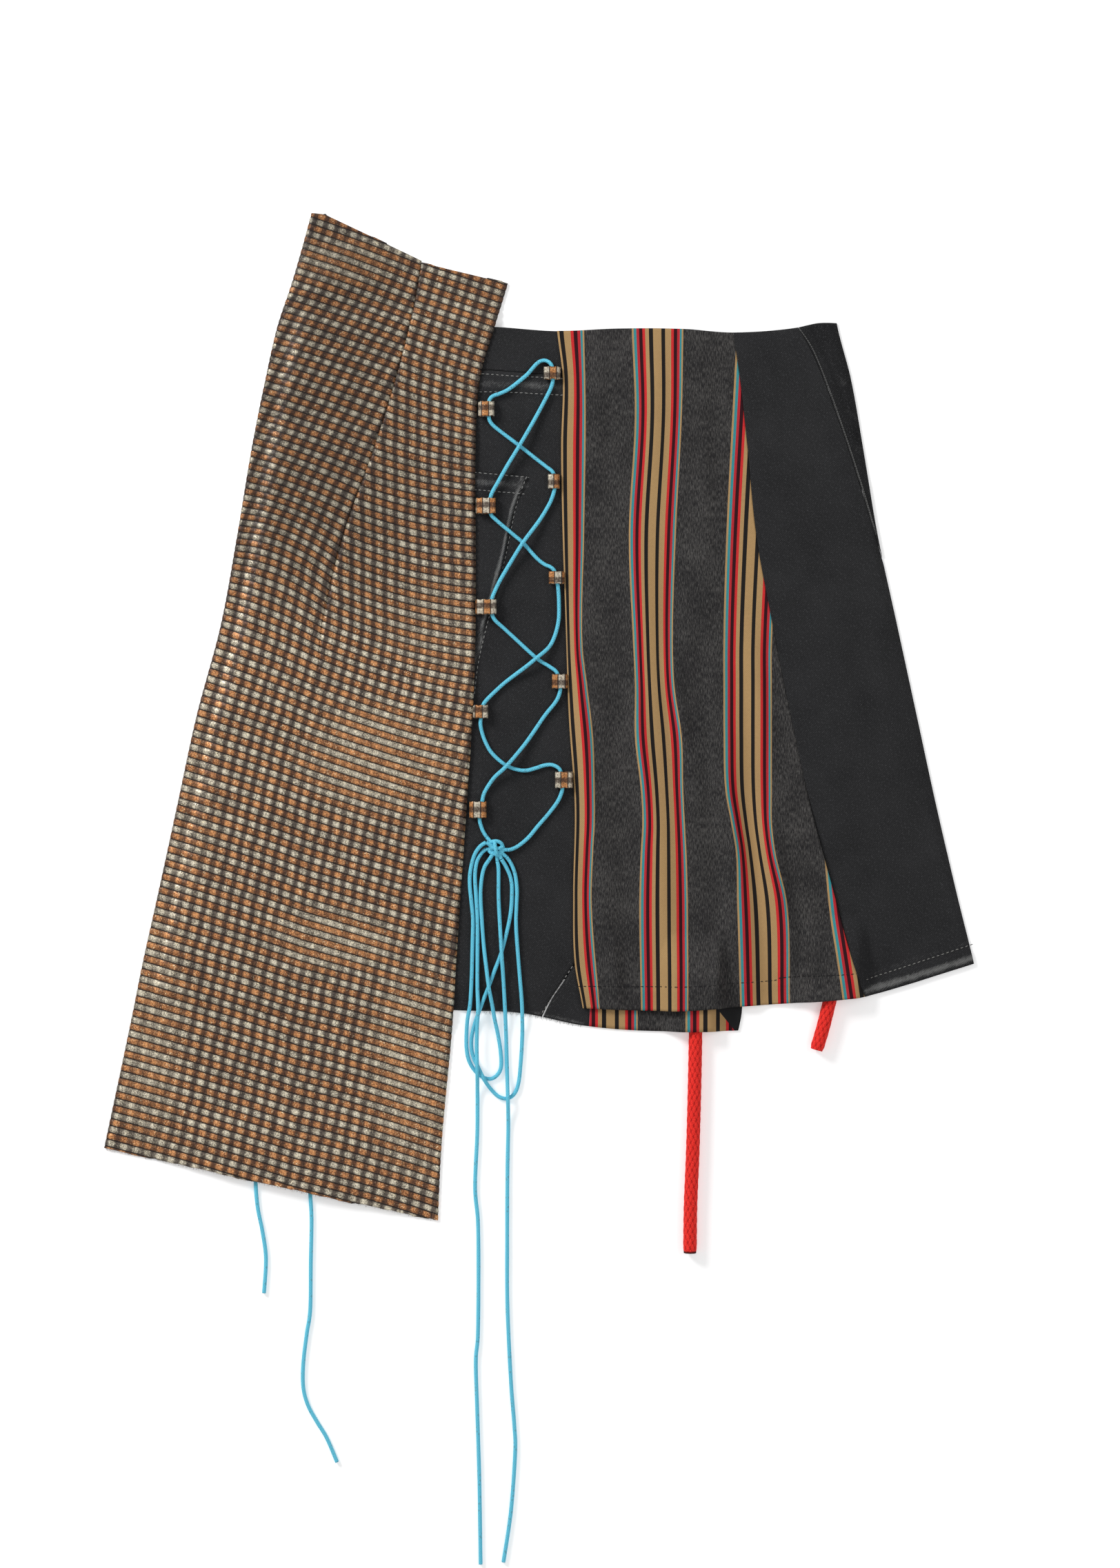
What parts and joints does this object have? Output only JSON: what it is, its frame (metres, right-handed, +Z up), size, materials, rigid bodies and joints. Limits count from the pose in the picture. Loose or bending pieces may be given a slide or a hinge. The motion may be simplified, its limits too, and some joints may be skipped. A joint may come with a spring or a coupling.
{
  "type": "corset skirt",
  "caption": "Patchwork corset skirt laid flat, front up: long ribbed foil check panel laced with a pale blue cord to striped and black denim panels, with red cord ends at the hem.",
  "frame": {"origin": "under the middle of the cloth, on the surface it lies on", "axes": "+Y from the hem to the waist, +X to the right across the front, +Z up out of the front of the garment"},
  "size_m": [0.5797, 0.9003, 0.0136],
  "materials": {
    "black_denim": "washed black twill, worn grey at seams",
    "striped_cotton": "charcoal melange with bands of tan, red, teal and black stripes",
    "foil_check": "ribbed cloth with sparkling copper and silver foil checks",
    "blue_lace": "fine round braid with small dark flecks",
    "red_rope": "thick herringbone braid, cut ends"
  },
  "bodies": {
    "root": {"back_panel": "black_denim", "jeans_yoke": "black_denim", "jeans_body": "black_denim", "jeans_gusset": "black_denim", "jeans_pocket": "black_denim", "under_stripes": "striped_cotton", "striped_panel": "striped_cotton", "side_panel": "black_denim", "side_strap": "black_denim", "check_panel": "foil_check", "loop_left_1": "foil_check", "loop_left_2": "foil_check", "loop_left_3": "foil_check", "loop_left_4": "foil_check", "loop_left_5": "foil_check", "loop_right_1": "foil_check", "loop_right_2": "foil_check", "loop_right_3": "foil_check", "loop_right_4": "foil_check", "loop_right_5": "foil_check", "lace_first_half": "blue_lace", "lace_second_half": "blue_lace", "bow_loop_short": "blue_lace", "bow_loop_long": "blue_lace", "lace_tail_left": "blue_lace", "lace_tail_right": "blue_lace", "lace_knot": "blue_lace", "hem_cord_left": "blue_lace", "hem_cord_middle": "blue_lace", "rope_middle": "red_rope", "rope_right": "red_rope"}
  },
  "joints": []
}
